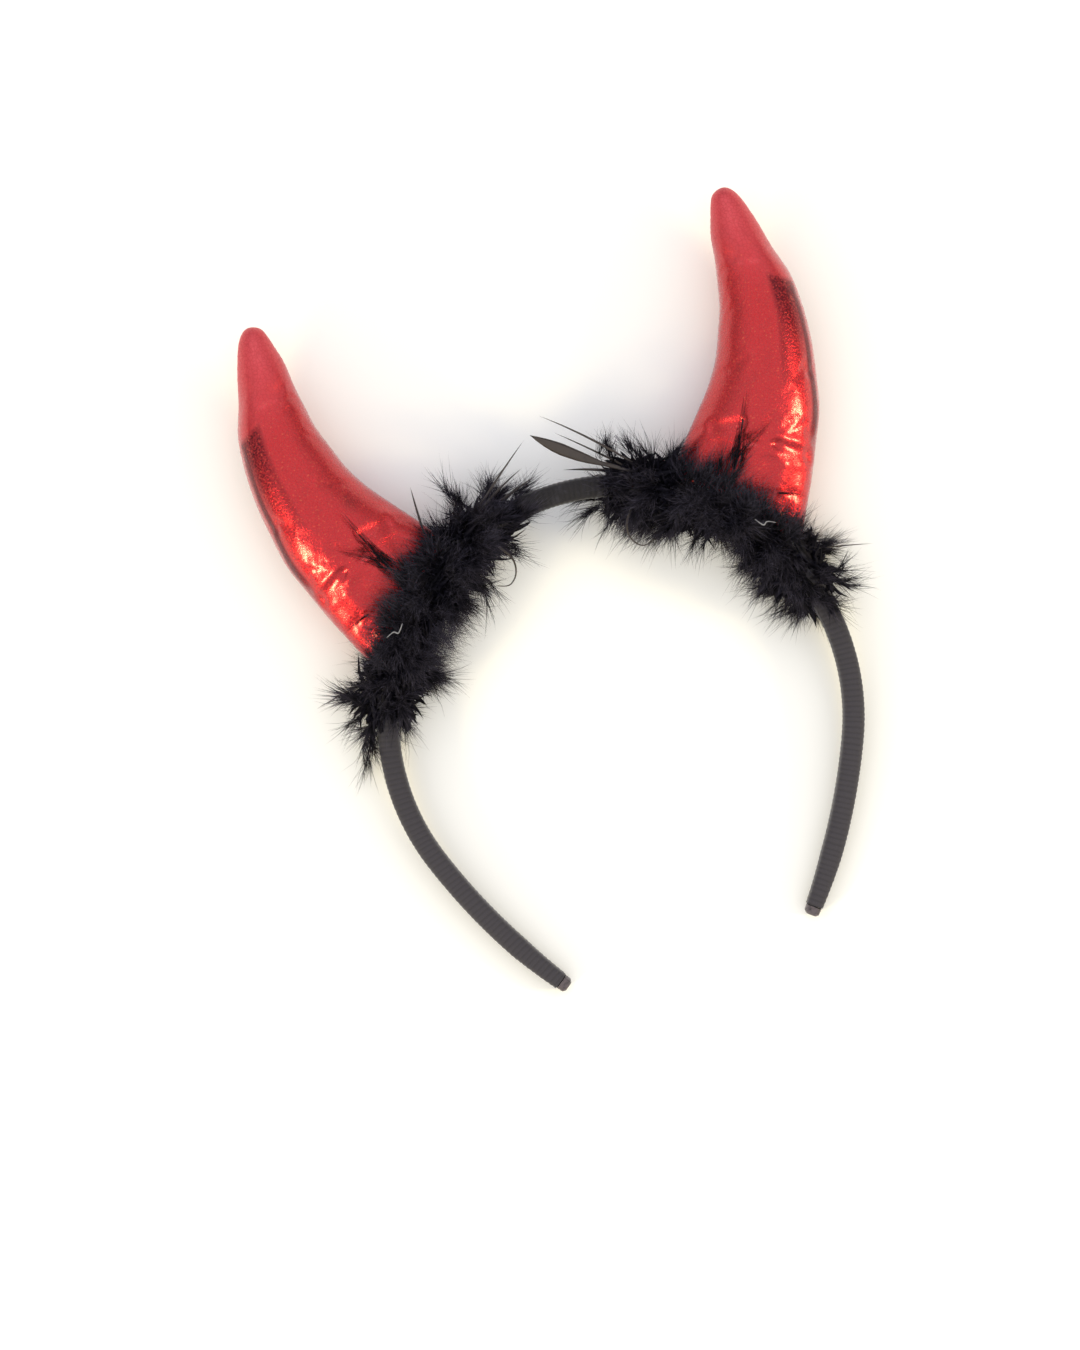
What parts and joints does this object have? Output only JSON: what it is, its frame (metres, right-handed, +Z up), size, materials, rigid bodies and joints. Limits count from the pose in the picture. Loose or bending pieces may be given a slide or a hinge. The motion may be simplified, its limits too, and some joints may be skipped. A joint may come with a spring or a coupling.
{
  "type": "devil horns headband",
  "caption": "Ribbon-wound hair band with padded metallic-red curved horns, each ringed at its foot by a black feather trim.",
  "frame": {"origin": "bottom centre of the whole object's box, as it lies on its side", "axes": "+X across the head towards the wearer's one side, +Y from the band's ends towards the tips of the horns, +Z up from the surface that it lies on"},
  "size_m": [0.1666, 0.208, 0.0336],
  "materials": {
    "band_plastic": "satin black plastic",
    "band_ribbon": "matte wound ribbon",
    "horn_foil": "metallic foil fabric, finely crackled",
    "feather": "soft down"
  },
  "bodies": {
    "root": {"band_core": "band_plastic", "ribbon_wrap": "band_ribbon", "horn_left": "horn_foil", "horn_right": "horn_foil", "marabou_left": "feather", "marabou_right": "feather"}
  },
  "joints": []
}
